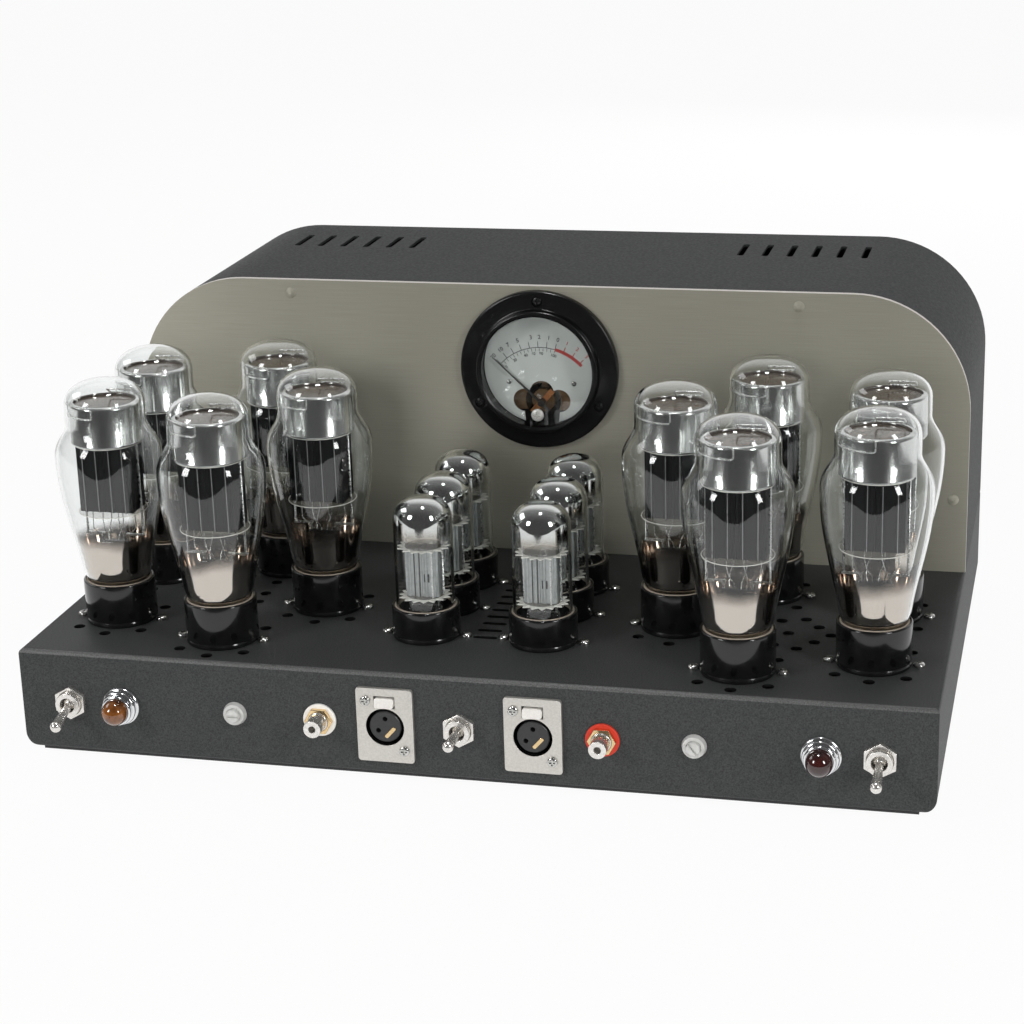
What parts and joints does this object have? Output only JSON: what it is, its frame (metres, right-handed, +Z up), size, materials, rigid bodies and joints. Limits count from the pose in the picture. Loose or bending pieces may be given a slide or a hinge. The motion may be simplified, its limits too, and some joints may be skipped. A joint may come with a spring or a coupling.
{
  "type": "tube power amplifier",
  "caption": "Stereo tube power amplifier: a grey steel chassis with rings of power tubes and rows of driver tubes before a round-cornered hood with a brushed faceplate and a meter.",
  "frame": {"origin": "on the floor under the middle of the amplifier", "axes": "+X to the right as seen from the front, +Y to the back, +Z up"},
  "size_m": [0.432, 0.3586, 0.1975],
  "materials": {
    "chassis_paint": "fine textured powder coat",
    "hood_paint": "smooth satin powder coat",
    "black_steel": "matte black",
    "foot_rubber": "matte",
    "screw_steel": "plated",
    "faceplate_aluminium": "brushed, anodised",
    "base_phenolic": "gloss",
    "tube_glass": "clear, with a dark getter film",
    "plate_carbon": "blackened sheet",
    "shield_silver": "bright sheet",
    "plate_grey": "grey sheet",
    "mica": "pale, translucent",
    "lead_nickel": "drawn wire",
    "pin_brass": "plated",
    "socket_phenolic": "moulded",
    "meter_black": "gloss",
    "meter_glass": "clear",
    "dial_face": "printed, pale grey",
    "movement_bronze": "dark bronze",
    "coil_copper": "enamelled copper",
    "needle_black": "satin",
    "zero_screw_metal": "satin",
    "switch_nickel": "bright nickel",
    "lever_nickel": "bright nickel",
    "lamp_chrome": "bright",
    "amber_jewel": "amber, clear",
    "red_jewel": "dark red, clear",
    "nylon_grey": "satin",
    "phono_nickel": "bright nickel",
    "phono_gold": "gold plated",
    "washer_white": "satin",
    "washer_red": "satin",
    "balanced_nickel": "satin nickel",
    "insert_black": "satin",
    "contact_gold": "gold plated",
    "inlet_black": "satin",
    "post_gold": "gold plated",
    "cap_red": "satin",
    "cap_black": "satin",
    "core_iron": "varnished laminations",
    "coil_wrap": "varnished tape",
    "capacitor_sleeve": "sleeve",
    "board_green": "solder resist"
  },
  "bodies": {
    "amplifier": {"chassis": "chassis_paint", "bottom_plate": "black_steel", "rubber_feet": "foot_rubber", "cover_screws": "screw_steel", "hood": "hood_paint", "faceplate": "faceplate_aluminium", "faceplate_screws": "faceplate_aluminium", "power_tube_bases": "base_phenolic", "power_tube_envelopes": "tube_glass", "power_tube_plates": "plate_carbon", "power_tube_shields": "shield_silver", "driver_tube_bases": "base_phenolic", "driver_tube_envelopes": "tube_glass", "driver_tube_plates": "plate_grey", "tube_stems": "tube_glass", "tube_micas": "mica", "tube_support_wires": "lead_nickel", "tube_pins": "pin_brass", "tube_sockets": "socket_phenolic", "socket_screws": "screw_steel", "meter_case": "meter_black", "meter_glass": "meter_glass", "meter_dial": "dial_face", "meter_movement": "movement_bronze", "meter_screws": "meter_black", "switch_bodies": "switch_nickel", "switch_nuts": "switch_nickel", "lamp_bezels": "lamp_chrome", "amber_lens": "amber_jewel", "red_lens": "red_jewel", "adjuster_collars": "nylon_grey", "phono_jacks": "phono_nickel", "phono_nuts": "phono_gold", "phono_washer_white": "washer_white", "phono_washer_red": "washer_red", "balanced_shells": "balanced_nickel", "balanced_inserts": "insert_black", "balanced_contacts": "contact_gold", "balanced_screws": "screw_steel", "mains_inlet": "inlet_black", "post_studs": "post_gold", "transformer_cores": "core_iron", "transformer_coils": "coil_wrap", "filter_capacitors": "capacitor_sleeve", "circuit_board": "board_green"},
    "left_toggle": {"toggle_lever_left": "lever_nickel"},
    "centre_toggle": {"toggle_lever_centre": "lever_nickel"},
    "right_toggle": {"toggle_lever_right": "lever_nickel"},
    "meter_pointer": {"meter_coil": "coil_copper", "meter_needle": "needle_black"},
    "zero_screw": {"meter_zero_screw": "zero_screw_metal"},
    "left_adjuster": {"adjuster_shaft_left": "nylon_grey"},
    "right_adjuster": {"adjuster_shaft_right": "nylon_grey"},
    "left_latch": {"latch_tab_left": "balanced_nickel"},
    "right_latch": {"latch_tab_right": "balanced_nickel"},
    "fuse_drawer": {"fuse_drawer": "inlet_black"},
    "left_red_cap": {"post_cap_left_red": "cap_red"},
    "left_black_cap": {"post_cap_left_black": "cap_black"},
    "right_red_cap": {"post_cap_right_red": "cap_red"},
    "right_black_cap": {"post_cap_right_black": "cap_black"}
  },
  "joints": [
    {"name": "left_toggle_throw", "type": "hinge", "parent": "amplifier", "child": "left_toggle", "pos_m": [-0.191, -0.15775, 0.0313], "axis": [-1, 0, 0], "range_deg": [0, 30]},
    {"name": "centre_toggle_throw", "type": "hinge", "parent": "amplifier", "child": "centre_toggle", "pos_m": [0, -0.15775, 0.0313], "axis": [-1, 0, 0], "range_deg": [-15, 15]},
    {"name": "right_toggle_throw", "type": "hinge", "parent": "amplifier", "child": "right_toggle", "pos_m": [0.191, -0.15775, 0.0313], "axis": [-1, 0, 0], "range_deg": [0, 30]},
    {"name": "pointer_swing", "type": "hinge", "parent": "amplifier", "child": "meter_pointer", "pos_m": [0, 0.02025, 0.1362], "axis": [0, 1, 0], "range_deg": [0, 94], "stiffness_Nm_per_rad": 0.0005},
    {"name": "zero_turn", "type": "hinge", "parent": "amplifier", "child": "zero_screw", "pos_m": [0, 0.02025, 0.1322], "axis": [0, 1, 0], "range_deg": [-45, 45]},
    {"name": "left_adjuster_turn", "type": "hinge", "parent": "amplifier", "child": "left_adjuster", "pos_m": [-0.1085, -0.15675, 0.0313], "axis": [0, 1, 0], "range_deg": [-150, 150]},
    {"name": "right_adjuster_turn", "type": "hinge", "parent": "amplifier", "child": "right_adjuster", "pos_m": [0.1085, -0.15675, 0.0313], "axis": [0, 1, 0], "range_deg": [-150, 150]},
    {"name": "left_latch_push", "type": "slide", "parent": "amplifier", "child": "left_latch", "axis": [0, 1, 0], "range_m": [0, 0.0015], "stiffness_N_per_m": 400},
    {"name": "right_latch_push", "type": "slide", "parent": "amplifier", "child": "right_latch", "axis": [0, 1, 0], "range_m": [0, 0.0015], "stiffness_N_per_m": 400},
    {"name": "fuse_drawer_pull", "type": "slide", "parent": "amplifier", "child": "fuse_drawer", "axis": [0, 1, 0], "range_m": [0, 0.02]},
    {"name": "left_red_cap_turn", "type": "hinge", "parent": "amplifier", "child": "left_red_cap", "pos_m": [-0.1295, 0.15725, 0.0313], "axis": [0, 1, 0], "continuous": true},
    {"name": "left_black_cap_turn", "type": "hinge", "parent": "amplifier", "child": "left_black_cap", "pos_m": [-0.1105, 0.15725, 0.0313], "axis": [0, 1, 0], "continuous": true},
    {"name": "right_red_cap_turn", "type": "hinge", "parent": "amplifier", "child": "right_red_cap", "pos_m": [0.1295, 0.15725, 0.0313], "axis": [0, 1, 0], "continuous": true},
    {"name": "right_black_cap_turn", "type": "hinge", "parent": "amplifier", "child": "right_black_cap", "pos_m": [0.1105, 0.15725, 0.0313], "axis": [0, 1, 0], "continuous": true}
  ]
}
